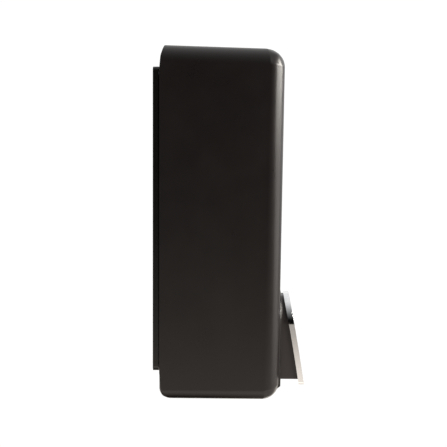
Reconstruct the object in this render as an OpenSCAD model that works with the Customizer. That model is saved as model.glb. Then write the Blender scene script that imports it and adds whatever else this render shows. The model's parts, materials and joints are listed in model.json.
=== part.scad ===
// Wall mounted soap dispenser with a drop-front cover, a press lever and a push-up pump.
// The wall is the plane Y = 0 and the front faces -Y. X is the width and Z is up.
// The origin is the middle of the four wall screw holes, on the wall.

/* [Cover] */
// Width of the cover
cover_w = 114; // [112:1:118]
// Depth of the cover's front from the wall, at the height of the origin
cover_d = 106.5; // [106:0.5:108]
// Height of the rear top edge over the origin
cover_top = 145; // [144:0.5:148]
// Depth of the flat bottom below the origin
cover_drop = 149; // [149:0.5:151]
// Wall thickness of the cover
cover_t = 2.8; // [2.4:0.1:3]
// Gap between the wall and the cover's rear edge
cover_gap = 5.8; // [5.6:0.1:6.2]
// Forward fall of the top, in degrees
top_fall = 2.5; // [2:0.1:3]
// Lean of the front from the vertical, in degrees
front_lean = 1.2; // [1:0.05:1.4]
// Rounding between the sides and the top
top_round = 16; // [12:1:18]
// Rounding between the sides and the bottom
bottom_round = 8; // [6:1:9]
// Rounding of the upright front edges
front_round = 12; // [8:1:14]

/* [Back plate] */
// Width of the wall slab
plate_w = 106; // [100:1:108]
// Height of the wall slab
plate_h = 252; // [240:1:252]
// Thickness of the wall slab
plate_t = 4.6; // [4:0.1:5]
// Distance from the wall to the raised panel's front
panel_y = 9; // [8:0.5:9.5]
// Spacing of the wall screw holes across
screw_x = 60; // [50:1:64]
// Spacing of the wall screw holes up and down
screw_z = 180; // [160:1:190]
// Radius of each wall screw hole
screw_r = 2.75; // [2:0.05:3.2]

/* [Lever] */
// Width of the polished press plate
lever_w = 77; // [70:1:80]
// Thickness of the press plate
lever_t = 4.5; // [4:0.1:5]
// Height of the press plate
lever_h = 74.6; // [72:0.1:75]
// Width of the opening in the cover
lever_gate_w = 76; // [75:0.5:77]
// Distance of the lever pin from the wall
pin_y = 95; // [94:0.5:95.5]
// Depth of the lever pin below the origin
pin_drop = 70.3; // [70:0.1:71]

/* [Reservoir] */
// Width of the reservoir
tank_w = 98; // [90:1:100]
// Front to back size of the reservoir
tank_d = 84; // [80:1:86]
// Height of the reservoir body
tank_h = 114; // [108:1:115]
// Wall thickness of the reservoir
tank_t = 2.2; // [1.8:0.1:2.6]

/* [Pump] */
// Distance of the pump axis from the wall
pump_y = 60; // [58:0.5:62]
// Radius of the pump stem
stem_r = 5; // [4.5:0.1:5.2]
// Radius of the nozzle
nozzle_r = 6.5; // [6.2:0.1:7.5]
// Radius of the hole in the cover's bottom under the nozzle
spout_r = 14; // [12:0.5:16]

/* [Hidden] */
$fn = 64;

black = [0.07, 0.065, 0.065];
grey = [0.25, 0.25, 0.26];
steel = [0.7, 0.71, 0.73];
milky = [0.85, 0.88, 0.9, 0.6];
rubber = [0.12, 0.12, 0.12];

// A little more than nothing, so that cuts pass right through
eps = 0.5;
// A length longer than the whole object
far = 400;
// Running clearance, as a radius
run = 0.05;
// Height of a rounded edge's arc over the flats beside it
arc_lift = 0.03;

// Cover details
rear_round = 9;
toe_round = 13;
brow_round = 16;
relief_h = 22;
relief_d = 3.5;
rear_wall_top = -127.5;
half_w = cover_w / 2;

// Window over the soap level
window_w = 12;
window_bottom = 22;
window_top = 98;
window_lip = 3;
lens_t = 1.5;

// Cover hinge at the bottom
hinge_y = -12;
hinge_z = -138;
hinge_r = 2.5;
eye_r = 6;
lug_in = 24;
lug_out = 34;
knuckle_in = 34.5;
knuckle_out = 41;
rear_notch = 44;
notch_bottom = -145;
notch_front = -11.2;

// Raised frame round the lever's opening, whose top slopes out of the cover's front
bezel_rim = 3;
bezel_d = 1.75;
bezel_root = 1;
bezel_top = -56.2;
bezel_full = -71.7;
bezel_low = -139.8;
bezel_foot = -144.5;
bezel_foot_in = 4.5;

// Lever and its opening
gate_bottom = -139.5;
gate_foot_round = 2;
gate_rim = (lever_w - lever_gate_w) / 2;
lever_top = -64.2;
lever_front_r = 1262;
lever_front_c = [1125, -312.1];
lever_screw_x = 24;
lever_screw_z = [-98, -124];
pivot = [-pin_y, -pin_drop];
pin_r = 2.5;
bush_r = 3.8;
bush_in = 26;
bush_flange = 1.2;
barrel_r = 5.6;
barrel_w = 72;
yoke_rim = 1.7;
yoke_t = 2.2;
yoke_bottom = -134.5;
yoke_foot_round = 1;
yoke_hollow_top = -90.2;
yoke_rear = [[-99, yoke_bottom - 2], [-92, -88], [-91, -72], [-95, lever_top]];
yoke_w = lever_w - 2 * yoke_rim;
neck_core = [[3, -107, -87.5], [30, -85, -79]];
plate_top_round = 25;
plate_foot_round = 2;
ear_in = 38.5;
ear_out = 42.5;
prong_in = 9;
prong_out = 14;
prong_r = 3;

// Reservoir
tank_top = 92;
tank_bottom = tank_top - tank_h;
tank_back = -10.5;
tank_front = tank_back - tank_d;
tank_round = 8;
neck_r = 14.5;
neck_bore = 10.5;
neck_z = -34;
mouth_w = 50;
mouth_back = -54;
mouth_front = -82;
rim_t = 2.5;
rim_z = 94;
lid_z = 95.2;
lid_t = 2.5;
lid_pin_y = -49;
lid_pin_z = 96.5;
lid_pin_r = 1.5;

// Pump
washer_t = 1.5;
flange_z = neck_z - washer_t;
flange_t = 2.5;
flange_r = 14;
skirt_r = 10;
body_bottom = -50;
chamber_r = 7.5;
chamber_wall = 2;
chamber_top = -6;
guide_t = 4;
collar_r = 14;
collar_z = -67;
collar_t = 3;
nozzle_end = -143;
piston_top = -30;
piston_h = 8;
piston_bore = 2.2;
seal_top = piston_top - 2.5;
seal_bottom = piston_top - 5.5;
seal_groove = 2;
spring_turns = 4.5;
spring_wire = 0.6;
spring_coil = 7.6;
spring_steps = 16;
spring_sides = 8;
spring_low = collar_z + collar_t + spring_wire + run;
spring_high = body_bottom - spring_wire - run;

// Lock in the top of the cover
lock_y = -34;
lock_seat_z = 141;
lock_r = 8;
plug_r = 5.5;
lock_bottom = 119;
boss_z = 135;
cam_z = 115.2;
cam_t = 2.5;
cam_len = 20;
cam_w = 9;
tenon = 7;
cam_screw_r = 1.5;

// Latch keeper on the back plate
hook_x = 10;
hook_w = 14;
hook_front = -44;
hook_top = 121;
hook_z = 110;
hook_foot = 99;
metal_t = 2.5;
keeper_screw_x = [hook_x + 1.5, hook_x + hook_w - 1.5];
keeper_screw_z = 104.5;
keeper_screw_r = 1.75;

// Bracket under the reservoir
bracket_w = 72;
bracket_h = 28;
bracket_screw_x = 27;
bracket_screw_z = -40;
bracket_screw_r = 2;

// Unit vector along v
function unit(v) = v / norm(v);
// Half the angle between two directions
function half_angle(u, v) = acos(unit(u) * unit(v)) / 2;
// Point where a fillet of radius r in corner p leaves the edge that runs along u
function fillet_end(p, u, v, r) = p + unit(u) * r / tan(half_angle(u, v));
// Centre of a fillet of radius r in corner p
function fillet_centre(p, u, v, r) = p + unit(unit(u) + unit(v)) * r / sin(half_angle(u, v));

// Polygon with a true arc of its own radius at each corner
module rounded(corners, radii) {
    n = len(corners);
    polygon([
        for (i = [0:n - 1])
            let (p = corners[i], u = corners[(i + n - 1) % n] - p, v = corners[(i + 1) % n] - p)
            each radii[i] > 0
                ? [fillet_end(p, u, v, radii[i]), fillet_end(p, v, u, radii[i])]
                : [p]
    ]);
    for (i = [0:n - 1]) {
        p = corners[i];
        u = corners[(i + n - 1) % n] - p;
        v = corners[(i + 1) % n] - p;
        if (radii[i] > 0) translate(fillet_centre(p, u, v, radii[i])) circle(radii[i]);
    }
}

// Rectangle from corner a to corner b with four equal arcs
module rounded_box_outline(a, b, r) {
    rounded([a, [b[0], a[1]], b, [a[0], b[1]]], [r, r, r, r]);
}

// Extrudes an outline drawn in Y and Z along X, between two places
module along_x(x0, x1) {
    translate([x0, 0, 0]) rotate([90, 0, 90]) linear_extrude(x1 - x0) children();
}

// Extrudes an outline drawn in X and Z forward, from one Y to a lower one
module along_y(y0, y1) {
    translate([0, y0, 0]) rotate([90, 0, 0]) linear_extrude(y0 - y1) children();
}

// Block between two opposite corners
module block(a, b) {
    translate(a) cube(b - a);
}

// Both mirror images of a child across the middle plane
module pair() {
    children();
    mirror([1, 0, 0]) children();
}

// Cylinder along X
module rod_x(x0, x1, y, z, r) {
    translate([x0, y, z]) rotate([0, 90, 0]) cylinder(r = r, h = x1 - x0);
}

// Cylinder along Y, from y0 forward to y1
module rod_y(x, z, y0, y1, r) {
    translate([x, y0, z]) rotate([90, 0, 0]) cylinder(r = r, h = y0 - y1);
}

// Upright cylinder on the pump axis
module pump_rod(z0, z1, r) {
    translate([0, -pump_y, z0]) cylinder(r = r, h = z1 - z0);
}

// Upright cylinder on the lock axis
module lock_rod(z0, z1, r) {
    translate([0, lock_y, z0]) cylinder(r = r, h = z1 - z0);
}

// ---- Cover ----

// Y of the front at a height, for a wall set in by some depth
function front_at(z, inset) = inset / cos(front_lean) - cover_d - tan(front_lean) * z;
// Where the front and the top would meet
function brow_z(inset) =
    (cover_top - inset / cos(top_fall)
        + tan(top_fall) * (inset / cos(front_lean) - cover_d + cover_gap + relief_d))
    / (1 + tan(top_fall) * tan(front_lean));
// Height of the top at a depth
function top_at(y, inset) = cover_top - inset / cos(top_fall) + tan(top_fall) * (y + cover_gap + relief_d);

// Side view of the outside
module side_outline() {
    rounded([
        [-cover_gap, -cover_drop],
        [front_at(-cover_drop, 0), -cover_drop],
        [front_at(brow_z(0), 0), brow_z(0)],
        [-cover_gap - relief_d, cover_top],
        [-cover_gap, cover_top - relief_h]
    ], [rear_round, toe_round, brow_round, 0, 0]);
}

// Side view of the hollow, which is open to the rear above the short rear wall
module hollow_outline(inset) {
    floor_z = inset - cover_drop;
    rounded([
        [-cover_gap - inset, rear_wall_top],
        [-cover_gap - inset, floor_z],
        [front_at(floor_z, inset), floor_z],
        [front_at(brow_z(inset), inset), brow_z(inset)],
        [eps * 10, top_at(eps * 10, inset)],
        [eps * 10, rear_wall_top]
    ], [0, rear_round - inset, toe_round - inset, brow_round - inset, 0, 0]);
}

// Stuff outside an arc of radius r in the corner of the quadrant x > 0, y > 0.
// The arc stands a hair proud of the two flats, so that it crosses them cleanly.
module corner_waste(r) {
    difference() {
        translate([-r, -r]) square(r + 10);
        translate([-r + arc_lift, -r + arc_lift]) circle(r);
        translate([-r - 1, -r - 1]) square([1 + arc_lift, r + 2 + far]);
        translate([-r - 1, -r - 1]) square([r + 2 + far, 1 + arc_lift]);
    }
}

// The cover's form with its long edges rounded, set in by some depth
module round_edges(inset) {
    w = half_w - inset;
    difference() {
        children();
        // upright front edges
        pair() translate([w, -cover_d, 0]) rotate([front_lean, 0, 0])
            translate([0, inset, -far / 2]) mirror([0, 1, 0])
                linear_extrude(far) corner_waste(front_round - inset);
        // long edges of the bottom
        pair() translate([w, far / 4, -cover_drop + inset]) rotate([90, 0, 0])
            mirror([0, 1, 0]) linear_extrude(far) corner_waste(bottom_round - inset);
        // long edges of the top
        pair() translate([0, -cover_gap - relief_d, cover_top]) rotate([top_fall, 0, 0])
            translate([w, far / 4, -inset]) rotate([90, 0, 0])
                linear_extrude(far) corner_waste(top_round - inset);
    }
}

module cover_outside() {
    round_edges(0) along_x(-half_w, half_w) side_outline();
}

module cover_hollow(inset) {
    round_edges(inset) along_x(inset - half_w, half_w - inset) hollow_outline(inset);
}

// Knuckles that run on the two hinge pins
module cover_knuckles() {
    pair() along_x(knuckle_in, knuckle_out) {
        translate([hinge_y, hinge_z]) circle(eye_r);
        translate([hinge_y - eye_r, -cover_drop]) square([eye_r * 1.8, hinge_z + cover_drop]);
    }
}

// Ears that carry the lever pin
module lever_ears() {
    pair() along_x(ear_in, ear_out) {
        translate(pivot) circle(barrel_r);
        translate([-cover_d, pivot[1] - barrel_r]) square([cover_d + pivot[0], 2 * barrel_r]);
    }
}

// Slot of the window, larger all round by some amount
module window_outline(grow) {
    w = window_w / 2 + grow;
    rounded_box_outline([-w, window_bottom - grow], [w, window_top + grow], w - 0.1);
}

// Front view of the press plate, drawn in by some rim, down to its own bottom
module lever_face(rim, bottom, foot_r) {
    w = lever_w / 2 - rim;
    top = lever_top - rim;
    top_r = plate_top_round - rim;
    rounded([[-w, bottom], [w, bottom], [w, top], [-w, top]], [foot_r, foot_r, top_r, top_r]);
}

// Raised frame round the lever's opening
module bezel() {
    intersection() {
        along_x(-half_w, half_w) polygon([
            [front_at(bezel_top, bezel_root), bezel_top],
            [front_at(bezel_full, -bezel_d), bezel_full],
            [front_at(bezel_low, -bezel_d), bezel_low],
            [front_at(bezel_foot, bezel_foot_in), bezel_foot],
            [front_at(bezel_low, bezel_root), bezel_low]
        ]);
        along_y(-cover_d + 10, -cover_d - 10) lever_face(-bezel_rim, -cover_drop, 0);
    }
}

module cover() {
    color(black) difference() {
        union() {
            difference() {
                cover_outside();
                cover_hollow(cover_t);
            }
            bezel();
            intersection() {
                cover_outside();
                union() {
                    cover_knuckles();
                    lever_ears();
                    lock_rod(boss_z, cover_top, lock_r + 5);
                }
            }
        }
        pair() rod_x(lug_out, knuckle_out + eps, hinge_y, hinge_z, hinge_r + run);
        pair() rod_x(ear_in - eps, ear_out + eps, pivot[0], pivot[1], pin_r);
        // rear wall is cut away behind the hinge lugs
        block([-rear_notch, notch_front, notch_bottom], [rear_notch, 0, rear_wall_top + eps]);
        // opening that the lever stands in
        along_y(-cover_d + 8, -cover_d - 8) lever_face(gate_rim, gate_bottom, gate_foot_round);
        along_y(-cover_d + 8, -cover_d - 8) window_outline(0);
        pump_rod(-cover_drop - eps, -cover_drop + cover_t + eps, spout_r);
        lock_rod(boss_z - eps, cover_top, lock_r + 0.1);
        lock_rod(lock_seat_z, cover_top + eps, lock_r + 3.6);
    }
}

module window_lens() {
    color(milky) {
        intersection() {
            difference() {
                cover_outside();
                cover_hollow(cover_t);
            }
            along_y(-cover_d + 8, -cover_d - 8) window_outline(-0.1);
        }
        intersection() {
            difference() {
                cover_hollow(cover_t);
                cover_hollow(cover_t + lens_t);
            }
            along_y(-cover_d + 9, -cover_d - 8) window_outline(window_lip);
        }
    }
}

// ---- Lock ----

module lock_housing() {
    color(steel) difference() {
        union() {
            lock_rod(lock_seat_z, lock_seat_z + 1.8, lock_r + 3);
            lock_rod(lock_bottom, lock_seat_z, lock_r);
        }
        lock_rod(lock_bottom - eps, lock_seat_z + 2, plug_r + run);
    }
}

module lock_nut() {
    color(steel) difference() {
        translate([0, lock_y, boss_z - 4]) cylinder(r = lock_r + 4.5, h = 4, $fn = 6);
        lock_rod(boss_z - 5, boss_z + eps, lock_r + run);
    }
}

// Square end of the plug, which turns the cam
module tenon_block(z0, z1) {
    block([-tenon / 2, lock_y - tenon / 2, z0], [tenon / 2, lock_y + tenon / 2, z1]);
}

module lock_plug() {
    color(steel) difference() {
        union() {
            lock_rod(cam_z + cam_t, lock_seat_z + 1.3, plug_r);
            tenon_block(cam_z, cam_z + cam_t + eps);
        }
        block([-0.8, lock_y - 3.5, lock_seat_z - 8], [0.8, lock_y + 3.5, lock_seat_z + 2]);
        lock_rod(cam_z - eps, cam_z + 9, cam_screw_r);
    }
}

module lock_cam() {
    color(steel) difference() {
        translate([0, lock_y, cam_z]) linear_extrude(cam_t) {
            circle(cam_w / 2 + 1);
            translate([-cam_w / 2, 0]) square([cam_w, cam_len - cam_w / 2]);
            translate([0, cam_len - cam_w / 2]) circle(cam_w / 2);
        }
        tenon_block(cam_z - eps, cam_z + cam_t + eps);
    }
}

module cam_screw() {
    color(steel) difference() {
        union() {
            lock_rod(cam_z - 2.3, cam_z, 4.4);
            lock_rod(cam_z - eps, cam_z + 8, cam_screw_r);
        }
        block([-3, lock_y - 0.5, cam_z - 3], [3, lock_y + 0.5, cam_z - 1.2]);
        block([-0.5, lock_y - 3, cam_z - 3], [0.5, lock_y + 3, cam_z - 1.2]);
    }
}

// ---- Back plate ----

// Front view of the slab, drawn in by some amount at the sides and at the ends
module slab_outline(side, end, r) {
    w = plate_w / 2 - side;
    h = plate_h / 2 - end;
    rounded_box_outline([-w, -h], [w, h], r);
}

module back_plate() {
    color(black) difference() {
        union() {
            along_y(0, -plate_t) slab_outline(0, 0, 4);
            along_y(-1, -panel_y) slab_outline(3, 4, 6);
            // hinge lugs
            pair() along_x(lug_in, lug_out) {
                translate([hinge_y, hinge_z]) circle(eye_r);
                translate([hinge_y - 3, hinge_z]) square([6.5, 30]);
            }
            // hooks over the rear rim of the reservoir
            pair() block([34, -18, tank_top + 0.3], [44, -panel_y + 1, tank_top + 3.3]);
        }
        // hollow rear, with bosses left for the screws
        difference() {
            along_y(eps, -panel_y + 2.6) slab_outline(8, 9, 5);
            pair() for (z = [-screw_z / 2, screw_z / 2]) rod_y(screw_x / 2, z, 1, -panel_y, 7.5);
            pair() rod_y(bracket_screw_x, bracket_screw_z, 1, -panel_y, 5);
            for (x = keeper_screw_x) rod_y(x, keeper_screw_z, 1, -panel_y, 4.5);
            for (z = [-60, 0, 60]) block([-far / 8, -panel_y, z - 1], [far / 8, 0, z + 1]);
            pair() block([14, -panel_y, -plate_h / 2], [16, 0, plate_h / 2]);
        }
        // wall screw holes, with seats for the heads
        for (x = [-screw_x / 2, screw_x / 2]) for (z = [-screw_z / 2, screw_z / 2]) {
            rod_y(x, z, eps, -panel_y - eps, screw_r);
            rod_y(x, z, 3.2 - panel_y, -panel_y - eps, 5.6);
        }
        pair() rod_y(bracket_screw_x, bracket_screw_z, -1.5, -panel_y - eps, bracket_screw_r);
        for (x = keeper_screw_x) rod_y(x, keeper_screw_z, -1.5, -panel_y - eps, keeper_screw_r);
        pair() rod_x(lug_in - eps, lug_out + eps, hinge_y, hinge_z, hinge_r);
    }
}

module latch_keeper() {
    color(steel) difference() {
        union() {
            along_x(hook_x, hook_x + hook_w) {
                translate([hook_front, hook_z]) square([-panel_y - hook_front, metal_t]);
                translate([hook_front, hook_z]) square([metal_t, hook_top - hook_z]);
                translate([-panel_y - metal_t, hook_foot]) square([metal_t, hook_z - hook_foot + metal_t]);
            }
            along_y(-panel_y, -panel_y - metal_t)
                rounded_box_outline([hook_x - 3.5, hook_foot], [hook_x + hook_w + 3.5, hook_z], 2.5);
        }
        for (x = keeper_screw_x) rod_y(x, keeper_screw_z, 0, -panel_y - metal_t - eps, keeper_screw_r);
    }
}

// Screw along Y with a domed head on a face at y, driven toward the wall
module panel_screw(x, z, y, len, r, head_r) {
    difference() {
        union() {
            rod_y(x, z, y + len, y - eps, r);
            intersection() {
                rod_y(x, z, y, y - 2, head_r);
                translate([x, y + head_r * 2 - 2, z]) sphere(head_r * 2);
            }
        }
        block([x - head_r * 0.6, y - 3, z - 0.4], [x + head_r * 0.6, y - 0.9, z + 0.4]);
        block([x - 0.4, y - 3, z - head_r * 0.6], [x + 0.4, y - 0.9, z + head_r * 0.6]);
    }
}

module keeper_screws() {
    color(steel) for (x = keeper_screw_x)
        panel_screw(x, keeper_screw_z, -panel_y - metal_t, metal_t + 7, keeper_screw_r, 3.2);
}

module reservoir_bracket() {
    color(steel) difference() {
        union() {
            along_y(-panel_y, -panel_y - metal_t)
                translate([-bracket_w / 2, tank_bottom - bracket_h]) square([bracket_w, bracket_h]);
            tank_shelf();
        }
        // slot that the pump's nut slides into
        block([-20, -far, -far / 2], [20, -pump_y, 0]);
        pump_rod(tank_bottom - 10, tank_bottom + 1, 20);
        pair() rod_y(bracket_screw_x, bracket_screw_z, 0, -panel_y - metal_t - eps, bracket_screw_r);
    }
}

// Shelf that the reservoir stands on
module tank_shelf() {
    translate([0, 0, tank_bottom - metal_t])
        linear_extrude(metal_t)
            rounded_box_outline([-bracket_w / 2, -pump_y - 18], [bracket_w / 2, -panel_y], 3);
}

module bracket_screws() {
    color(steel) pair()
        panel_screw(bracket_screw_x, bracket_screw_z, -panel_y - metal_t, metal_t + 7, bracket_screw_r, 4);
}

module hinge_pins() {
    color(steel) pair() {
        rod_x(lug_in, knuckle_out + 0.5, hinge_y, hinge_z, hinge_r);
        rod_x(knuckle_out + 0.4, knuckle_out + 2, hinge_y, hinge_z, hinge_r + 1.5);
    }
}

// ---- Reservoir ----

module tank_outline(inset) {
    rounded_box_outline([inset - tank_w / 2, tank_front + inset], [tank_w / 2 - inset, tank_back - inset],
        tank_round - inset);
}

module reservoir() {
    color(milky) difference() {
        union() {
            translate([0, 0, tank_bottom]) linear_extrude(tank_h) tank_outline(0);
            pump_rod(neck_z, tank_bottom + eps, neck_r);
            translate([0, 0, tank_top - eps])
                linear_extrude(rim_z - tank_top + eps)
                    rounded_box_outline([-mouth_w / 2 - rim_t, mouth_front - rim_t],
                        [mouth_w / 2 + rim_t, mouth_back + rim_t], 6);
            // lugs for the lid's hinge pin
            pair() along_x(20, 25) {
                translate([lid_pin_y, lid_pin_z]) circle(2.6);
                translate([lid_pin_y - 2.6, tank_top - 1]) square([5.2, lid_pin_z - tank_top + 1]);
            }
        }
        translate([0, 0, tank_bottom + tank_t]) linear_extrude(tank_h - 2 * tank_t) tank_outline(tank_t);
        pump_rod(neck_z - eps, tank_bottom + tank_t + eps, neck_bore);
        translate([0, 0, tank_top - tank_t - eps])
            linear_extrude(rim_z - tank_top + tank_t + 1)
                rounded_box_outline([-mouth_w / 2, mouth_front], [mouth_w / 2, mouth_back], 3.5);
        rod_x(-26, 26, lid_pin_y, lid_pin_z, lid_pin_r);
    }
}

module lid_hinge_pin() {
    color(steel) rod_x(-25, 25, lid_pin_y, lid_pin_z, lid_pin_r);
}

module reservoir_lid() {
    color(grey) difference() {
        union() {
            translate([0, 0, lid_z])
                linear_extrude(lid_t)
                    rounded_box_outline([-mouth_w / 2 - rim_t - 1, mouth_front - rim_t - 1],
                        [mouth_w / 2 + rim_t + 1, lid_pin_y - 3.2], 4);
            // finger tab
            translate([0, 0, lid_z]) linear_extrude(lid_t)
                rounded_box_outline([-9, mouth_front - 7], [9, mouth_front], 3);
            // knuckles between the reservoir's lugs
            pair() along_x(8, 19.5) {
                translate([lid_pin_y, lid_pin_z]) circle(2.4);
                translate([lid_pin_y - 5, lid_z]) square([5, lid_t]);
            }
            // stiffening bead
            translate([0, 0, lid_z + lid_t - 0.1]) linear_extrude(0.9) difference() {
                rounded_box_outline([-20, mouth_front + 3], [20, mouth_back - 3], 4);
                rounded_box_outline([-18, mouth_front + 5], [18, mouth_back - 5], 2.5);
            }
        }
        rod_x(-20, 20, lid_pin_y, lid_pin_z, lid_pin_r + run);
    }
}

module lid_seal() {
    color(rubber) translate([0, 0, rim_z + 0.1]) linear_extrude(lid_z - rim_z - 0.1) difference() {
        rounded_box_outline([-mouth_w / 2 - 2, mouth_front - 2], [mouth_w / 2 + 2, mouth_back + 2], 5);
        rounded_box_outline([-mouth_w / 2, mouth_front], [mouth_w / 2, mouth_back], 3.5);
    }
}

// ---- Pump ----

module outlet_washer() {
    color(rubber) difference() {
        pump_rod(flange_z, neck_z, flange_r);
        pump_rod(flange_z - eps, neck_z + eps, neck_bore);
    }
}

module pump_nut() {
    nut_bottom = flange_z - flange_t - 3;
    color(grey) difference() {
        pump_rod(nut_bottom, tank_bottom - metal_t, 18.5);
        pump_rod(flange_z - flange_t, tank_bottom, neck_r);
        pump_rod(nut_bottom - eps, flange_z, skirt_r + 0.5);
        // grip flutes
        for (a = [0:15:345])
            translate([0, -pump_y, nut_bottom - eps]) rotate([0, 0, a])
                translate([18.9, 0, 0]) cylinder(r = 1, h = 14);
    }
}

module pump_body() {
    color([0.9, 0.9, 0.9]) difference() {
        union() {
            pump_rod(body_bottom, chamber_top, chamber_r + chamber_wall);
            pump_rod(flange_z - flange_t, flange_z, flange_r);
            pump_rod(body_bottom, flange_z - flange_t + eps, skirt_r);
        }
        pump_rod(body_bottom + guide_t, chamber_top - 3, chamber_r);
        pump_rod(body_bottom - eps, body_bottom + guide_t + eps, stem_r + run);
        // inlet ports round the valve's stem
        for (a = [0:60:300])
            translate([0, -pump_y, chamber_top - 4]) rotate([0, 0, a])
                translate([4.4, 0, 0]) cylinder(r = 1.2, h = 5);
        pump_rod(chamber_top - 4, chamber_top + eps, 1.5);
    }
}

module inlet_valve() {
    color(rubber) {
        pump_rod(chamber_top - 4.6, chamber_top - 3.1, 6.6);
        pump_rod(chamber_top - 3.5, chamber_top + 1, 1.5);
        pump_rod(chamber_top + 0.1, chamber_top + 2, 2.3);
    }
}

// Points of the ring across the wire at one place along the coil
function coil_point(i, k) =
    let (
        a = i * 360 / spring_steps,
        b = k * 360 / spring_sides,
        r = spring_coil + spring_wire * cos(b)
    )
    [r * cos(a), r * sin(a) - pump_y,
        spring_low + (spring_high - spring_low) * i / (spring_turns * spring_steps) + spring_wire * sin(b)];

module pump_spring() {
    rings = spring_turns * spring_steps;
    color(steel) polyhedron(
        points = [for (i = [0:rings]) for (k = [0:spring_sides - 1]) coil_point(i, k)],
        faces = concat(
            [[for (k = [0:spring_sides - 1]) k]],
            [[for (k = [spring_sides - 1:-1:0]) rings * spring_sides + k]],
            [
                for (i = [0:rings - 1]) for (k = [0:spring_sides - 1])
                    let (n = (k + 1) % spring_sides)
                    each [
                        [i * spring_sides + k, (i + 1) * spring_sides + k, (i + 1) * spring_sides + n],
                        [i * spring_sides + k, (i + 1) * spring_sides + n, i * spring_sides + n]
                    ]
            ]
        )
    );
}

module pump_piston() {
    color([0.9, 0.9, 0.9]) difference() {
        union() {
            pump_rod(-90, piston_top, stem_r);
            pump_rod(piston_top - piston_h, piston_top, chamber_r - 0.4);
        }
        pump_rod(-91, piston_top + eps, piston_bore);
        // groove for the seal
        difference() {
            pump_rod(seal_bottom, seal_top, chamber_r + 1);
            pump_rod(seal_bottom - eps, seal_top + eps, chamber_r - seal_groove);
        }
    }
}

module piston_seal() {
    color(rubber) difference() {
        pump_rod(seal_bottom, seal_top, chamber_r - run);
        pump_rod(seal_bottom - eps, seal_top + eps, chamber_r - seal_groove);
    }
}

// Washer on the stem that the lever's fork lifts
module lift_collar() {
    color(grey) difference() {
        pump_rod(collar_z, collar_z + collar_t, collar_r);
        pump_rod(collar_z - eps, collar_z + collar_t + eps, stem_r);
    }
}

module nozzle() {
    color(grey) difference() {
        union() {
            pump_rod(-137, collar_z, nozzle_r);
            translate([0, -pump_y, nozzle_end]) cylinder(r1 = 4.6, r2 = nozzle_r, h = 6);
        }
        pump_rod(-90, collar_z + eps, stem_r);
        pump_rod(-137, -89, 3);
        pump_rod(nozzle_end - eps, -136.5, 3.6);
    }
}

// Duckbill valve in the nozzle's mouth
module nozzle_valve() {
    color(rubber) difference() {
        union() {
            pump_rod(-138.5, -136.5, 3.6);
            translate([0, -pump_y, nozzle_end + 0.3]) cylinder(r1 = 1.6, r2 = 3, h = 4.5);
        }
        pump_rod(-141.5, -136, 1.2);
        block([-1.2, -pump_y - 0.25, nozzle_end - eps], [1.2, -pump_y + 0.25, -141]);
    }
}

// ---- Lever ----

// Side view of the curved sheet that the press plate is cut from
module press_plate_outline() {
    difference() {
        translate(lever_front_c) circle(lever_front_r, $fn = 720);
        translate(lever_front_c) circle(lever_front_r - lever_t, $fn = 720);
    }
}

// Places a child that is drawn along +Y at a height on the press plate's rear face
module on_press_plate(x, z) {
    rear_r = lever_front_r - lever_t;
    rise = asin((z - lever_front_c[1]) / rear_r);
    translate([x, lever_front_c[0] - rear_r * cos(rise), z]) rotate([-rise, 0, 0]) children();
}

module lever_plate() {
    color(steel) difference() {
        intersection() {
            along_x(-lever_w / 2, lever_w / 2) press_plate_outline();
            along_y(-100, -130) lever_face(0, lever_top - lever_h, plate_foot_round);
        }
        pair() for (z = lever_screw_z) on_press_plate(lever_screw_x, z) rod_y(0, 0, 1, -2.5, 1.5);
    }
}

// Everything behind a face that lies some depth behind the press plate's rear face
module behind_plate(depth) {
    intersection() {
        children();
        translate(lever_front_c) circle(lever_front_r - lever_t - depth, $fn = 720);
    }
}

// Box behind the press plate, with its neck back to the barrel
module yoke_box() {
    intersection() {
        along_x(-half_w, half_w) behind_plate(0)
            polygon(concat([[-130, lever_top], [-130, yoke_bottom - 2]], yoke_rear));
        along_y(-80, -130) lever_face(yoke_rim, yoke_bottom, yoke_foot_round);
    }
}

module lever_yoke() {
    color(black) difference() {
        union() {
            difference() {
                yoke_box();
                // hollow of the box, open to the rear
                along_x(yoke_t - yoke_w / 2, yoke_w / 2 - yoke_t) behind_plate(yoke_t)
                    translate([-130, yoke_bottom + yoke_t])
                        square([42, yoke_hollow_top - yoke_bottom - yoke_t]);
                // cores in the neck
                pair() block(neck_core[0], neck_core[1]);
            }
            rod_x(-barrel_w / 2, barrel_w / 2, pivot[0], pivot[1], barrel_r);
            // fork that lifts the pump's collar
            pair() {
                block([prong_in, pivot[0], pivot[1] - prong_r], [prong_out, -pump_y, pivot[1] + prong_r]);
                rod_x(prong_in, prong_out, -pump_y, pivot[1], prong_r);
            }
        }
        rod_x(-barrel_w / 2 - 1, barrel_w / 2 + 1, pivot[0], pivot[1], pin_r + 0.3);
        pair() rod_x(bush_in, barrel_w / 2 + 1, pivot[0], pivot[1], bush_r + 0.03);
        pair() for (z = lever_screw_z) on_press_plate(lever_screw_x, z) rod_y(0, 0, yoke_t + 1, -1, 1.5);
    }
}

module lever_screws() {
    color(steel) pair() for (z = lever_screw_z) on_press_plate(lever_screw_x, z) {
        rod_y(0, 0, yoke_t + eps, -2.4, 1.5);
        rod_y(0, 0, yoke_t + 2, yoke_t, 3);
    }
}

module lever_bushes() {
    color([0.85, 0.85, 0.8]) pair() difference() {
        union() {
            rod_x(bush_in, barrel_w / 2 + eps, pivot[0], pivot[1], bush_r);
            rod_x(barrel_w / 2, ear_in - 0.3, pivot[0], pivot[1], bush_r + bush_flange);
        }
        rod_x(bush_in - 1, ear_in, pivot[0], pivot[1], pin_r + run);
    }
}

module lever_pin() {
    color(steel) rod_x(-45, 45, pivot[0], pivot[1], pin_r);
}

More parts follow.
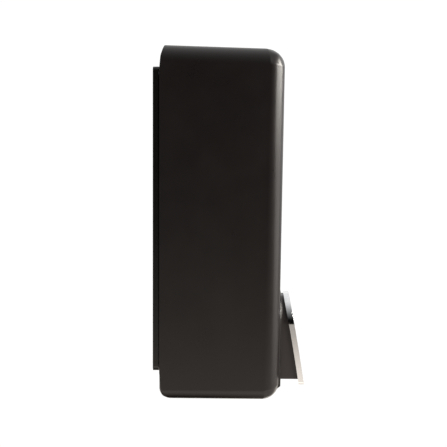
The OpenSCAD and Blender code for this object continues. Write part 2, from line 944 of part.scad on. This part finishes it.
module pin_clips() {
    color(steel) pair() difference() {
        rod_x(ear_out, ear_out + 1.2, pivot[0], pivot[1], 5);
        rod_x(ear_out - eps, ear_out + 2, pivot[0], pivot[1], pin_r);
        block([ear_out - 1, pivot[0] - 1.6, pivot[1] - 6], [ear_out + 2, pivot[0] + 1.6, pivot[1]]);
    }
}

back_plate();
latch_keeper();
keeper_screws();
reservoir_bracket();
bracket_screws();
hinge_pins();
reservoir();
outlet_washer();
pump_nut();
pump_body();
inlet_valve();
pump_spring();
lid_hinge_pin();
reservoir_lid();
lid_seal();
cover();
window_lens();
lock_housing();
lock_nut();
lever_pin();
pin_clips();
lock_plug();
lock_cam();
cam_screw();
lever_yoke();
lever_plate();
lever_screws();
lever_bushes();
pump_piston();
piston_seal();
lift_collar();
nozzle();
nozzle_valve();
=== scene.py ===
import json
import math
import bmesh
import bpy
from mathutils import Matrix, Vector


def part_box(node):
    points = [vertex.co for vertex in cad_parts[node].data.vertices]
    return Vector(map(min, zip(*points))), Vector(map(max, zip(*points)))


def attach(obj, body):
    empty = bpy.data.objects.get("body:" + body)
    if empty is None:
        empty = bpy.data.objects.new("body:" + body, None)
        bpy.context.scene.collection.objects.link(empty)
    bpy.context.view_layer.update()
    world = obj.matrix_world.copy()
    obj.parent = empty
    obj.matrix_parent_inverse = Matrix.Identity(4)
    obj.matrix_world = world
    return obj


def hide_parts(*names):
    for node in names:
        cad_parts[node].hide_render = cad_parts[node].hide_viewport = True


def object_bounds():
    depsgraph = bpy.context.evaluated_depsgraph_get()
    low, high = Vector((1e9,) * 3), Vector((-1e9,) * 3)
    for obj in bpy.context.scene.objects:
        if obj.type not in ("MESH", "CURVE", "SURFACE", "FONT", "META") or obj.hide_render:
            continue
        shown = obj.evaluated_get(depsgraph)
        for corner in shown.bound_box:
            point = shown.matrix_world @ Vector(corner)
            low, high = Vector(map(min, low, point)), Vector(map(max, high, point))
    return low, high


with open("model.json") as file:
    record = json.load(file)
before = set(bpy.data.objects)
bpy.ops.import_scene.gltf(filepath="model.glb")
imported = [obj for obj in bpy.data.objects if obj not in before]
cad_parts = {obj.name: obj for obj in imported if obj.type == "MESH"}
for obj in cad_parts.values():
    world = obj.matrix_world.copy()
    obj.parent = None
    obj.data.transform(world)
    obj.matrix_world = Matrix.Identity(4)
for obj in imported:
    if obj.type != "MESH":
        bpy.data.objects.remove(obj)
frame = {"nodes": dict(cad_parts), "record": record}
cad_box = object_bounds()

# The wall is Y = 0, the front faces -Y, X is the width and Z is up. Shapes are drawn in millimetres.
MM = 0.001

# ---- Sizes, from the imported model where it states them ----


def box_mm(node):
    """Lowest and highest corner of a CAD node, in millimetres."""
    low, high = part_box(node)
    return [v / MM for v in low], [v / MM for v in high]


COVER_LOW, COVER_HIGH = box_mm("cover")
HALF_W = COVER_HIGH[0]
COVER_BOTTOM = COVER_LOW[2]
COVER_TOP = COVER_HIGH[2]
COVER_BACK = COVER_HIGH[1]
COVER_WALL = 2.8
FRONT_D = 106.5
FRONT_LEAN = math.radians(1.2)
TOP_FALL = math.radians(2.5)
RELIEF_D = 3.5
RELIEF_H = 22.0
REAR_WALL_TOP = -127.5
REAR_NOTCH = 44.0
NOTCH_FRONT = -11.2
BEYOND = 20.0
TOP_ROUND = 16.0
FRONT_ROUND = 12.0
BROW_ROUND = 16.0
TOE_ROUND = 13.0
REAR_ROUND = 9.0
BOTTOM_ROUND = 8.0

BEZEL_RIM = 3.0
BEZEL_D = 1.75
BEZEL_TOP = -56.2
BEZEL_FULL = -71.7
BEZEL_LOW = -139.8
BEZEL_FOOT = -144.5
BEZEL_FOOT_IN = 4.5
BEZEL_ROOT = 1.0
BEZEL_EDGE = 1.2
GATE_BOTTOM = -139.5
GATE_RIM = 0.5
GATE_FOOT_ROUND = 2.0

WINDOW_HALF = 6.0
WINDOW_BOTTOM = 22.0
WINDOW_TOP = 98.0
WINDOW_ROUND = 5.9

PLATE_LOW, PLATE_HIGH = box_mm("lever_plate")
PLATE_T = 4.5
PLATE_ARC_R = 1262.0
PLATE_ARC_C = (1125.0, -312.1)
PLATE_TOP_ROUND = 25.0
PLATE_FOOT_ROUND = 2.0

YOKE_LOW, YOKE_HIGH = box_mm("lever_yoke")
YOKE_RIM = 1.7
YOKE_HOLLOW_TOP = -90.2
YOKE_WALL = 2.2
YOKE_FOOT_ROUND = 1.0
YOKE_GAP = 0.02
YOKE_REAR = [(-91, -72), (-92, -88)]
YOKE_FOOT_Y = -99
YOKE_INSIDE_Y = -88
YOKE_CORE = (-107, -87.5, -85, -79)
CORE_IN, CORE_OUT = 3, 30
BARREL_END = 36
BARREL_BORE_R = 2.8
BUSH_R = 3.83
BUSH_IN, BUSH_OUT = 26, 37.5
PRONG_R = 3
PRONG_IN, PRONG_OUT = 9, 14

# Depth and height of the lever's pin and of the cover's hinge
PIVOT = (-95.0, -70.3)
HINGE = (-12.0, -138.0)
PIN_R = 2.5
BARREL_R = 5.6
EAR_IN, EAR_OUT = 38.5, 42.5
# The ears that hold the pin end at one depth, which is 0.47 mm out of the leaning front at the pin's height
EAR_FRONT = 1 - FRONT_D
HINGE_BORE_R = 2.55
EYE_R = 6
KNUCKLE_IN, KNUCKLE_OUT = 34.5, 41
NOTCH_BOTTOM = -145

PUMP_Y = -60.0
SPOUT_R = 14
LOCK_Y = -34.0
LOCK_BOSS_R = 13
LOCK_BOSS_Z = 135
LOCK_BOSS_DROP = 1.4
LOCK_BORE_R = 8.1
LOCK_SEAT_R = 11.6
LOCK_SEAT_Z = 141
LOCK_CUT = (130, 150)
# How far a cut reaches past what it cuts
PAST = 8


def front_at(z):
    """Y of the cover's front at a height."""
    return -FRONT_D - math.tan(FRONT_LEAN) * z


def top_at(y):
    """Height of the cover's top at a depth."""
    return COVER_TOP + math.tan(TOP_FALL) * (y - COVER_BACK + RELIEF_D)


# ---- Outlines ----


def arc(cx, cy, r, start, end, steps):
    """Points along an arc, in degrees, both ends included."""
    angles = [math.radians(start + (end - start) * i / steps) for i in range(steps + 1)]
    return [(cx + r * math.cos(a), cy + r * math.sin(a)) for a in angles]


def circle(cx, cy, r, steps=64):
    return arc(cx, cy, r, 0, 360 - 360 / steps, steps - 1)


def lever_face(rim, bottom, foot_r, steps=20):
    """Front outline of the press plate, drawn in by a rim, down to its own bottom."""
    half = PLATE_HIGH[0] - rim
    top_r = PLATE_TOP_ROUND - rim
    return rounded_rect(-half, bottom, half, PLATE_HIGH[2] - rim, [foot_r, foot_r, top_r, top_r], steps)


def rounded_rect(x0, y0, x1, y1, radii, steps=12):
    """Rectangle with its own radius at each corner: low left, low right, high right, high left."""
    corners = [(x0, y0, 1, 1, 180), (x1, y0, -1, 1, 270), (x1, y1, -1, -1, 0), (x0, y1, 1, -1, 90)]
    points = []
    for (x, y, sx, sy, start), r in zip(corners, radii):
        if r > 0:
            points += arc(x + sx * r, y + sy * r, r, start, start + 90, steps)
        else:
            points.append((x, y))
    return points


# ---- Mesh tools ----

AXES = {
    "x": lambda t, a, b: (t, a, b),
    "y": lambda t, a, b: (a, t, b),
    "z": lambda t, a, b: (a, b, t),
}


def link(name, mesh):
    piece = bpy.data.objects.new(name, mesh)
    bpy.context.scene.collection.objects.link(piece)
    return piece


def mesh_object(name, bm):
    """Scene object in metres from a mesh drawn in millimetres."""
    bmesh.ops.recalc_face_normals(bm, faces=bm.faces)
    mesh = bpy.data.meshes.new(name)
    bm.to_mesh(mesh)
    bm.free()
    mesh.transform(Matrix.Scale(MM, 4))
    return link(name, mesh)


def prism(outline, axis, low, high, name="tool"):
    """Closed prism: an outline drawn across an axis, between two places on it."""
    bm = bmesh.new()
    place = AXES[axis]
    rings = [[bm.verts.new(place(t, *p)) for p in outline] for t in (low, high)]
    bm.faces.new(rings[0])
    bm.faces.new(rings[1])
    n = len(outline)
    for i in range(n):
        j = (i + 1) % n
        bm.faces.new((rings[0][i], rings[0][j], rings[1][j], rings[1][i]))
    return mesh_object(name, bm)


def settle(piece):
    """Turns a piece's modifiers into its mesh."""
    bpy.context.view_layer.update()
    graph = bpy.context.evaluated_depsgraph_get()
    mesh = bpy.data.meshes.new_from_object(piece.evaluated_get(graph))
    old = piece.data
    piece.modifiers.clear()
    piece.data = mesh
    bpy.data.meshes.remove(old)


def combine(base, tool, how):
    """Unites a tool with the base, or cuts it out of the base, and takes the tool away."""
    step = base.modifiers.new("combine", "BOOLEAN")
    step.operation = how
    step.solver = "EXACT"
    step.object = tool
    settle(base)
    bpy.data.objects.remove(tool)


def add(base, *tools):
    for tool in tools:
        combine(base, tool, "UNION")


def cut(base, *tools):
    for tool in tools:
        combine(base, tool, "DIFFERENCE")


def pair(outline, low, high):
    """Two prisms along X, mirrored across X = 0."""
    return [prism(outline, "x", low, high), prism(outline, "x", -high, -low)]


def across_front(outline, reach=PAST):
    """Prism along Y that reaches through the cover's front."""
    return prism(outline, "y", -FRONT_D - reach, -FRONT_D + reach)


def soften(piece, width, angle=32, segments=3, merge=True):
    """Rounds every sharp edge of a piece and shades it smooth."""
    if merge:
        flat = piece.modifiers.new("flat", "DECIMATE")
        flat.decimate_type = "DISSOLVE"
        flat.angle_limit = math.radians(0.4)
        flat.delimit = set()
    edge = piece.modifiers.new("edge", "BEVEL")
    edge.width = width * MM
    edge.segments = segments
    edge.limit_method = "ANGLE"
    edge.angle_limit = math.radians(angle)
    edge.use_clamp_overlap = True
    edge.harden_normals = False
    shade = piece.modifiers.new("shade", "WEIGHTED_NORMAL")
    shade.keep_sharp = False
    shade.weight = 60


# ---- Materials ----


class Nodes:
    """A material's node tree with short calls for what repeats."""

    def __init__(self, name):
        self.material = bpy.data.materials.new(name)
        self.material.use_nodes = True
        self.tree = self.material.node_tree
        self.shader = self.tree.nodes["Principled BSDF"]
        coords = self.add("ShaderNodeTexCoord")
        self.place = coords.outputs["Object"]

    def add(self, kind, **values):
        node = self.tree.nodes.new(kind)
        for key, value in values.items():
            setattr(node, key, value)
        return node

    def join(self, a, b):
        self.tree.links.new(a, b)

    def stretched(self, scale):
        """The object's own coordinates, stretched along an axis."""
        mapping = self.add("ShaderNodeMapping")
        mapping.inputs["Scale"].default_value = scale
        self.join(self.place, mapping.inputs["Vector"])
        return mapping.outputs["Vector"]

    def noise(self, scale, detail=3.0, rough=0.5, where=None, twist=0.0):
        node = self.add("ShaderNodeTexNoise")
        node.inputs["Scale"].default_value = scale
        node.inputs["Detail"].default_value = detail
        node.inputs["Roughness"].default_value = rough
        node.inputs["Distortion"].default_value = twist
        self.join(where or self.place, node.inputs["Vector"])
        return node.outputs["Fac"]

    def spread(self, value, low, high, from_low=0.3, from_high=0.7):
        """Maps a value from one range onto another."""
        node = self.add("ShaderNodeMapRange")
        node.inputs["From Min"].default_value = from_low
        node.inputs["From Max"].default_value = from_high
        node.inputs["To Min"].default_value = low
        node.inputs["To Max"].default_value = high
        self.join(value, node.inputs["Value"])
        return node.outputs["Result"]

    def blend(self, value, first, second):
        """Colour between two colours, by a value from 0 to 1."""
        node = self.add("ShaderNodeMix", data_type="RGBA")
        node.inputs["A"].default_value = (*first, 1)
        node.inputs["B"].default_value = (*second, 1)
        self.join(value, node.inputs["Factor"])
        return node.outputs["Result"]

    def times(self, a, b):
        node = self.add("ShaderNodeMath", operation="MULTIPLY")
        self.join(a, node.inputs[0])
        if isinstance(b, float):
            node.inputs[1].default_value = b
        else:
            self.join(b, node.inputs[1])
        return node.outputs[0]

    def plus(self, a, b):
        node = self.add("ShaderNodeMath", operation="ADD")
        self.join(a, node.inputs[0])
        self.join(b, node.inputs[1])
        return node.outputs[0]

    def bump(self, height, distance, strength=1.0):
        node = self.add("ShaderNodeBump")
        node.inputs["Strength"].default_value = strength
        node.inputs["Distance"].default_value = distance
        self.join(height, node.inputs["Height"])
        self.join(node.outputs["Normal"], self.shader.inputs["Normal"])

    def drive(self, socket, value):
        self.join(value, self.shader.inputs[socket])

    def set(self, **values):
        for key, value in values.items():
            self.shader.inputs[key.replace("_", " ")].default_value = value


def moulded_plastic(name, dark, light, rough, grain=1800.0, grain_depth=0.00002, scuff=0.06):
    """Moulded plastic: fine spark-eroded grain, slow colour drift, and faint scuffs in the gloss."""
    m = Nodes(name)
    drift = m.noise(14.0, 4.0, 0.6)
    m.drive("Base Color", m.blend(m.spread(drift, 0.0, 1.0), dark, light))
    haze = m.noise(38.0, 5.0, 0.65)
    wiped = m.noise(9.0, 6.0, 0.7, m.stretched((1.0, 1.0, 0.22)), 0.6)
    gloss = m.plus(m.spread(haze, rough - scuff / 2, rough + scuff / 2), m.spread(wiped, 0.0, scuff, 0.52, 0.72))
    m.drive("Roughness", gloss)
    grains = m.noise(grain, 2.0, 0.5)
    m.bump(grains, grain_depth, 0.6)
    m.set(IOR=1.41)
    return m.material


def polished_metal(name, colour, worn, rough, brush=(1.0, 1.0, 0.02), depth=0.000004):
    """Bright metal: a faint brushed line, slow smears in the gloss and fine dust marks."""
    m = Nodes(name)
    smear = m.noise(22.0, 5.0, 0.6)
    m.drive("Base Color", m.blend(m.spread(smear, 0.0, 1.0), colour, worn))
    lines = m.noise(900.0, 3.0, 0.6, m.stretched(brush))
    m.drive("Roughness", m.plus(m.spread(smear, rough * 0.7, rough * 1.4), m.spread(lines, 0.0, rough * 0.4)))
    m.bump(lines, depth, 0.5)
    m.set(Metallic=1.0)
    return m.material


def plated_steel(name, colour, shadow, rough):
    """Zinc plated steel: crystalline mottling and a rolled grain."""
    m = Nodes(name)
    mottle = m.noise(160.0, 6.0, 0.7)
    m.drive("Base Color", m.blend(m.spread(mottle, 0.0, 1.0), colour, shadow))
    grain = m.noise(1400.0, 2.0, 0.5, m.stretched((0.05, 1.0, 1.0)))
    m.drive("Roughness", m.plus(m.spread(mottle, rough - 0.05, rough + 0.06), m.spread(grain, 0.0, 0.06)))
    m.bump(grain, 0.00001, 0.5)
    m.set(Metallic=1.0)
    return m.material


def cloudy_plastic(name, colour, tint, rough, through, grain_depth=0.00002):
    """Blown translucent plastic: cloudy tint, flow waves in the wall and a soft gloss."""
    m = Nodes(name)
    cloud = m.noise(16.0, 4.0, 0.6)
    m.drive("Base Color", m.blend(m.spread(cloud, 0.0, 1.0), colour, tint))
    m.drive("Roughness", m.spread(m.noise(60.0, 4.0, 0.6), rough - 0.06, rough + 0.06))
    waves = m.noise(45.0, 3.0, 0.5, m.stretched((1.0, 1.0, 0.3)), 1.0)
    m.bump(waves, grain_depth, 0.4)
    m.set(IOR=1.47, Transmission_Weight=through)
    return m.material


def soft_rubber(name, dark, light):
    """Dull rubber with a powdery bloom."""
    m = Nodes(name)
    bloom = m.noise(120.0, 5.0, 0.65)
    m.drive("Base Color", m.blend(m.spread(bloom, 0.0, 1.0), dark, light))
    m.drive("Roughness", m.spread(bloom, 0.68, 0.86))
    m.bump(m.noise(900.0, 3.0, 0.6), 0.00003, 0.7)
    return m.material


MATERIALS = {
    "cover_black": moulded_plastic("cover_black", (0.0056, 0.0046, 0.0047), (0.0076, 0.0063, 0.0062), 0.3),
    "plate_black": moulded_plastic("plate_black", (0.0070, 0.0068, 0.0066), (0.0095, 0.0090, 0.0086), 0.2),
    "yoke_black": moulded_plastic("yoke_black", (0.026, 0.022, 0.022), (0.033, 0.028, 0.028), 0.38),
    "press_plate": polished_metal("press_plate", (0.84, 0.85, 0.86), (0.78, 0.79, 0.80), 0.09),
    "bright_steel": plated_steel("bright_steel", (0.58, 0.58, 0.59), (0.42, 0.42, 0.44), 0.3),
    "spring_steel": plated_steel("spring_steel", (0.46, 0.46, 0.48), (0.34, 0.34, 0.36), 0.24),
    "lock_metal": polished_metal("lock_metal", (0.66, 0.65, 0.63), (0.54, 0.53, 0.52), 0.2, (0.02, 1.0, 1.0)),
    "tank_clear": cloudy_plastic("tank_clear", (0.86, 0.89, 0.90), (0.80, 0.84, 0.85), 0.32, 0.72),
    "lens_clear": cloudy_plastic("lens_clear", (0.32, 0.34, 0.35), (0.26, 0.28, 0.29), 0.12, 0.85, 0.000004),
    "grey_plastic": moulded_plastic("grey_plastic", (0.060, 0.061, 0.064), (0.078, 0.079, 0.083), 0.42),
    "white_plastic": moulded_plastic("white_plastic", (0.70, 0.70, 0.67), (0.76, 0.76, 0.73), 0.4),
    "soft_rubber": soft_rubber("soft_rubber", (0.018, 0.018, 0.018), (0.034, 0.033, 0.032)),
}

SLOTS = {row["node"]: row["material_slot"] for row in frame["record"]["subparts"]}
BODIES = frame["record"]["behaviour"]["bodies"]
BODY_OF = {node: body for body, nodes in BODIES.items() for node in nodes}


def dress(node, piece):
    """Gives a new piece the material that its CAD node's slot names, puts it on that node's body, and hides that
    node.
    """
    piece.data.polygons.foreach_set("use_smooth", [True] * len(piece.data.polygons))
    piece.data.materials.clear()
    piece.data.materials.append(MATERIALS[SLOTS[node]])
    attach(piece, BODY_OF[node])
    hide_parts(node)


# ---- Cover ----


def cover_cage():
    """The cover's form as a block, open past its back, whose edges are rounded each with its own radius."""
    brow_z = (
        COVER_TOP + math.tan(TOP_FALL) * (RELIEF_D - FRONT_D - COVER_BACK)
    ) / (1 + math.tan(TOP_FALL) * math.tan(FRONT_LEAN))
    outline = [
        (COVER_BACK, COVER_BOTTOM, REAR_ROUND),
        (front_at(COVER_BOTTOM), COVER_BOTTOM, TOE_ROUND),
        (front_at(brow_z), brow_z, BROW_ROUND),
        (BEYOND, top_at(BEYOND), 0),
        (BEYOND, REAR_WALL_TOP, 0),
        (COVER_BACK, REAR_WALL_TOP, 0),
    ]
    along = [BOTTOM_ROUND, FRONT_ROUND, TOP_ROUND, 0, 0, 2.0]
    bm = bmesh.new()
    weight = bm.edges.layers.float.new("bevel_weight_edge")
    sides = [[bm.verts.new((x, y, z)) for y, z, _ in outline] for x in (-HALF_W, HALF_W)]
    n = len(outline)
    for side in sides:
        bm.faces.new(side)
    for i in range(n):
        j = (i + 1) % n
        bm.faces.new((sides[0][i], sides[0][j], sides[1][j], sides[1][i]))
    for i, (_, _, radius) in enumerate(outline):
        j = (i + 1) % n
        across = bm.edges.get((sides[0][i], sides[1][i]))
        across[weight] = radius / TOP_ROUND
        for side in sides:
            bm.edges.get((side[i], side[j]))[weight] = along[i] / TOP_ROUND
    piece = mesh_object("cover_shell", bm)
    rounding = piece.modifiers.new("rounding", "BEVEL")
    rounding.width = TOP_ROUND * MM
    rounding.segments = 14
    rounding.limit_method = "WEIGHT"
    rounding.use_clamp_overlap = False
    settle(piece)
    return piece


def open_mouth(piece):
    """Takes away the faces past the cover's open back."""
    bm = bmesh.new()
    bm.from_mesh(piece.data)
    mouth = [f for f in bm.faces if f.calc_center_median().y > (BEYOND - 1) * MM]
    bmesh.ops.delete(bm, geom=mouth, context="FACES")
    bm.to_mesh(piece.data)
    bm.free()


def build_bezel():
    """Raised frame round the lever's opening, whose top slopes out of the cover's front."""
    side = [
        (front_at(BEZEL_TOP) + BEZEL_ROOT, BEZEL_TOP), (front_at(BEZEL_FULL) - BEZEL_D, BEZEL_FULL),
        (front_at(BEZEL_LOW) - BEZEL_D, BEZEL_LOW), (front_at(BEZEL_FOOT) + BEZEL_FOOT_IN, BEZEL_FOOT),
        (front_at(BEZEL_LOW) + BEZEL_ROOT, BEZEL_LOW),
    ]
    bezel = prism(side, "x", -HALF_W, HALF_W)
    combine(bezel, across_front(lever_face(-BEZEL_RIM, COVER_BOTTOM, 0), 10), "INTERSECT")
    soften(bezel, BEZEL_EDGE)
    settle(bezel)
    return bezel


def build_cover():
    piece = cover_cage()
    open_mouth(piece)
    wall = piece.modifiers.new("wall", "SOLIDIFY")
    wall.thickness = COVER_WALL * MM
    wall.offset = -1.0
    wall.use_even_offset = True
    settle(piece)
    back = [
        (COVER_BACK, REAR_WALL_TOP - 0.01), (COVER_BACK, COVER_TOP - RELIEF_H),
        (COVER_BACK - RELIEF_D * 0.27, COVER_TOP - RELIEF_H * 0.5), (COVER_BACK - RELIEF_D, COVER_TOP),
        (COVER_BACK - RELIEF_D, COVER_TOP + 10), (BEYOND + 5, COVER_TOP + 10), (BEYOND + 5, REAR_WALL_TOP - 0.01),
    ]
    cut(piece, prism(back, "x", -HALF_W - 5, HALF_W + 5))

    add(piece, build_bezel())
    knuckle = arc(*HINGE, EYE_R, 0, 180, 24)
    knuckle += [(HINGE[0] - EYE_R, COVER_BOTTOM + 1), (HINGE[0] + 1, COVER_BOTTOM + 1)]
    add(piece, *pair(knuckle, KNUCKLE_IN, KNUCKLE_OUT))
    ear = arc(*PIVOT, BARREL_R, -90, 90, 24)
    ear += [(EAR_FRONT, PIVOT[1] + BARREL_R), (EAR_FRONT, PIVOT[1] - BARREL_R)]
    add(piece, *pair(ear, EAR_IN, EAR_OUT))
    add(piece, prism(circle(0, LOCK_Y, LOCK_BOSS_R), "z", LOCK_BOSS_Z, top_at(LOCK_Y) - LOCK_BOSS_DROP))

    cut(piece, across_front(lever_face(GATE_RIM, GATE_BOTTOM, GATE_FOOT_ROUND)))
    window = rounded_rect(-WINDOW_HALF, WINDOW_BOTTOM, WINDOW_HALF, WINDOW_TOP, [WINDOW_ROUND] * 4)
    cut(piece, across_front(window))
    cut(piece, prism(circle(0, PUMP_Y, SPOUT_R), "z", COVER_BOTTOM - 1, COVER_BOTTOM + 4))
    cut(piece, prism(circle(0, LOCK_Y, LOCK_BORE_R), "z", *LOCK_CUT))
    cut(piece, prism(circle(0, LOCK_Y, LOCK_SEAT_R), "z", LOCK_SEAT_Z, LOCK_CUT[1]))
    notch = rounded_rect(-REAR_NOTCH, NOTCH_BOTTOM, REAR_NOTCH, REAR_WALL_TOP + 1, [0, 0, 0, 0])
    cut(piece, prism(notch, "y", NOTCH_FRONT, 0))
    cut(piece, *pair(circle(*HINGE, HINGE_BORE_R, 32), KNUCKLE_IN - 0.5, KNUCKLE_OUT + 0.5))
    cut(piece, *pair(circle(*PIVOT, PIN_R, 32), EAR_IN - 0.5, EAR_OUT + 0.5))
    soften(piece, 0.45)
    dress("cover", piece)


# ---- Lever ----


def plate_face(depth, z):
    """Y of the press plate at a height, some depth behind its front face."""
    r = PLATE_ARC_R - depth
    return PLATE_ARC_C[0] - math.sqrt(r * r - (z - PLATE_ARC_C[1]) ** 2)


def build_lever_plate():
    low, high = PLATE_LOW, PLATE_HIGH
    steps = 40
    heights = [low[2] - 2 + (high[2] - low[2] + 4) * i / steps for i in range(steps + 1)]
    front = [(plate_face(0, z), z) for z in heights]
    back = [(plate_face(PLATE_T, z), z) for z in reversed(heights)]
    piece = prism(front + back, "x", low[0] - 2, high[0] + 2, "press_plate")
    shape = prism(lever_face(0, low[2], PLATE_FOOT_ROUND, 28), "y", low[1] - 5, high[1] + 5)
    combine(piece, shape, "INTERSECT")
    soften(piece, 0.9, angle=50, segments=5, merge=False)
    dress("lever_plate", piece)


def build_yoke():
    low, high = YOKE_LOW, YOKE_HIGH
    bottom, top = low[2], PLATE_HIGH[2]
    steps = 16
    heights = [bottom - 2 + (top - bottom + 2) * i / steps for i in range(steps + 1)]
    outline = [(plate_face(PLATE_T + YOKE_GAP, z), z) for z in heights]
    outline += [(PIVOT[0], top), *YOKE_REAR, (YOKE_FOOT_Y, bottom - 2)]
    piece = prism(outline, "x", -HALF_W, HALF_W, "lever_box")
    combine(piece, prism(lever_face(YOKE_RIM, bottom, YOKE_FOOT_ROUND), "y", -130, -80), "INTERSECT")
    floor = bottom + YOKE_WALL
    heights = [floor + (YOKE_HOLLOW_TOP - bottom - YOKE_WALL) * i / steps for i in range(steps + 1)]
    inside = [(plate_face(PLATE_T + YOKE_WALL, z), z) for z in heights]
    inside += [(YOKE_INSIDE_Y, heights[-1]), (YOKE_INSIDE_Y, heights[0])]
    cut(piece, prism(inside, "x", low[0] + YOKE_WALL, high[0] - YOKE_WALL))
    cut(piece, *pair(rounded_rect(*YOKE_CORE, [0, 0, 0, 0]), CORE_IN, CORE_OUT))
    add(piece, prism(circle(*PIVOT, BARREL_R), "x", -BARREL_END, BARREL_END))
    prong = [(PIVOT[0], PIVOT[1] + PRONG_R), (PIVOT[0], PIVOT[1] - PRONG_R)]
    prong += arc(PUMP_Y, PIVOT[1], PRONG_R, -90, 90, 16)
    add(piece, *pair(prong, PRONG_IN, PRONG_OUT))
    cut(piece, prism(circle(*PIVOT, BARREL_BORE_R, 32), "x", -BUSH_OUT, BUSH_OUT))
    cut(piece, *pair(circle(*PIVOT, BUSH_R, 32), BUSH_IN, BUSH_OUT))
    soften(piece, 0.5)
    dress("lever_yoke", piece)


# ---- Carried-over nodes ----

EDGE_OF = {
    "back_plate": 0.7,
    "reservoir": 0.8,
    "reservoir_lid": 0.4,
    "window_lens": 0.2,
    "lock_housing": 0.4,
    "lock_plug": 0.25,
    "pump_nut": 0.4,
    "nozzle": 0.4,
    "latch_keeper": 0.3,
    "reservoir_bracket": 0.35,
}
SMALL_EDGE = 0.15
KEEP_PLAIN = {"pump_spring"}


def dress_cad_nodes(replaced):
    """Procedural material and softened edges on every CAD node that stays."""
    for name, node in frame["nodes"].items():
        if name in replaced:
            continue
        node.data.materials.clear()
        node.data.materials.append(MATERIALS[SLOTS[name]])
        if name not in KEEP_PLAIN:
            soften(node, EDGE_OF.get(name, SMALL_EDGE), segments=2)


# ---- Stage, in metres ----

LAMP_COLOUR = (1.0, 0.95, 0.88)
BACKDROP = 1.05
FLOOR_DROP = 0.16


def build_floor():
    """Pale floor, even white to the camera, that otherwise glows with painted light: a painted shadow almost dark
    beneath the object and a painted pool of light brightest round it.
    """
    bm = bmesh.new()
    bmesh.ops.create_grid(bm, x_segments=1, y_segments=1, size=6.0)
    mesh = bpy.data.meshes.new("floor")
    bm.to_mesh(mesh)
    bm.free()
    floor = link("floor", mesh)
    floor.location = (0.02, 0.01, cad_box[0][2] - FLOOR_DROP)
    m = Nodes("floor")
    m.tree.nodes.remove(m.shader)
    distance = m.add("ShaderNodeVectorMath", operation="LENGTH")
    m.join(m.place, distance.inputs[0])
    glow = m.add("ShaderNodeEmission")
    m.join(m.blend(m.noise(3.0), (1.0, 0.91, 0.82), (0.98, 0.90, 0.82)), glow.inputs["Color"])
    # Painted shadow: the glow falls to almost nothing beneath the object, where its shadow would lie.
    painted_shadow = m.spread(distance.outputs["Value"], 0.02, 1.6, 0.07, 0.24)
    # Painted pool of light: the glow is strongest round the object and fades further off.
    painted_light_pool = m.spread(distance.outputs["Value"], 1.0, 0.25, 0.4, 2.0)
    m.join(m.times(painted_shadow, painted_light_pool), glow.inputs["Strength"])
    white = m.add("ShaderNodeEmission")
    white.inputs["Strength"].default_value = BACKDROP
    mix = m.add("ShaderNodeMixShader")
    m.join(m.add("ShaderNodeLightPath").outputs["Is Camera Ray"], mix.inputs[0])
    m.join(glow.outputs[0], mix.inputs[1])
    m.join(white.outputs[0], mix.inputs[2])
    m.join(mix.outputs[0], m.tree.nodes["Material Output"].inputs["Surface"])
    mesh.materials.append(m.material)


def soft_box(name, where, target, size, power):
    light = bpy.data.lights.new(name, "AREA")
    light.shape = "RECTANGLE"
    light.size, light.size_y = size
    light.energy = power
    light.color = LAMP_COLOUR
    lamp = bpy.data.objects.new(name, light)
    bpy.context.scene.collection.objects.link(lamp)
    lamp.location = where
    lamp.rotation_euler = (Vector(target) - Vector(where)).to_track_quat("-Z", "Y").to_euler()
    lamp.visible_camera = False


def build_world():
    """Room that is white behind the object and falls to black on the near side, with a white backdrop."""
    world = bpy.data.worlds.new("studio")
    bpy.context.scene.world = world
    world.use_nodes = True
    tree = world.node_tree
    tree.nodes.clear()

    def add_node(kind, **values):
        node = tree.nodes.new(kind)
        for key, value in values.items():
            setattr(node, key, value)
        return node

    def ramp(value, low, high, from_low, from_high):
        node = add_node("ShaderNodeMapRange")
        for key, number in zip(("From Min", "From Max", "To Min", "To Max"), (from_low, from_high, low, high)):
            node.inputs[key].default_value = number
        tree.links.new(value, node.inputs["Value"])
        return node.outputs["Result"]

    direction = add_node("ShaderNodeTexCoord").outputs["Generated"]
    split = add_node("ShaderNodeSeparateXYZ")
    tree.links.new(direction, split.inputs[0])
    behind = ramp(split.outputs["X"], 0.0, 0.95, -0.97, 0.05)
    studio = add_node("ShaderNodeCombineColor")
    for channel in studio.inputs:
        tree.links.new(behind, channel)
    backdrop = add_node("ShaderNodeBackground")
    backdrop.inputs["Color"].default_value = (1, 1, 1, 1)
    backdrop.inputs["Strength"].default_value = BACKDROP
    room = add_node("ShaderNodeBackground")
    tree.links.new(studio.outputs[0], room.inputs["Color"])
    seen = add_node("ShaderNodeLightPath").outputs["Is Camera Ray"]
    mix = add_node("ShaderNodeMixShader")
    tree.links.new(seen, mix.inputs[0])
    tree.links.new(room.outputs[0], mix.inputs[1])
    tree.links.new(backdrop.outputs[0], mix.inputs[2])
    tree.links.new(mix.outputs[0], add_node("ShaderNodeOutputWorld").inputs[0])


def build_camera():
    """Camera level with the middle of the object, square to its left side and turned a little to its front."""
    turn = math.radians(3.17)
    data = bpy.data.cameras.new("camera")
    data.sensor_width = 36.0
    data.lens = 78.8
    data.clip_start = 0.02
    camera = bpy.data.objects.new("camera", data)
    bpy.context.scene.collection.objects.link(camera)
    camera.location = (-HALF_W * MM - 0.8, -0.1031, -0.0043)
    camera.rotation_euler = Vector((math.cos(turn), math.sin(turn), 0)).to_track_quat("-Z", "Y").to_euler()
    bpy.context.scene.camera = camera


build_camera()
build_world()
build_floor()
soft_box("front_key", (-0.14, -1.1, 0.5), (0, -0.1, 0.05), (1.1, 0.5), 44)
soft_box("front_fill", (-0.1, -1.3, -0.1), (0, -0.1, -0.1), (1.0, 0.34), 2.2)

build_cover()
build_lever_plate()
build_yoke()
dress_cad_nodes({"cover", "lever_plate", "lever_yoke"})

bpy.context.scene.view_settings.view_transform = "Standard"
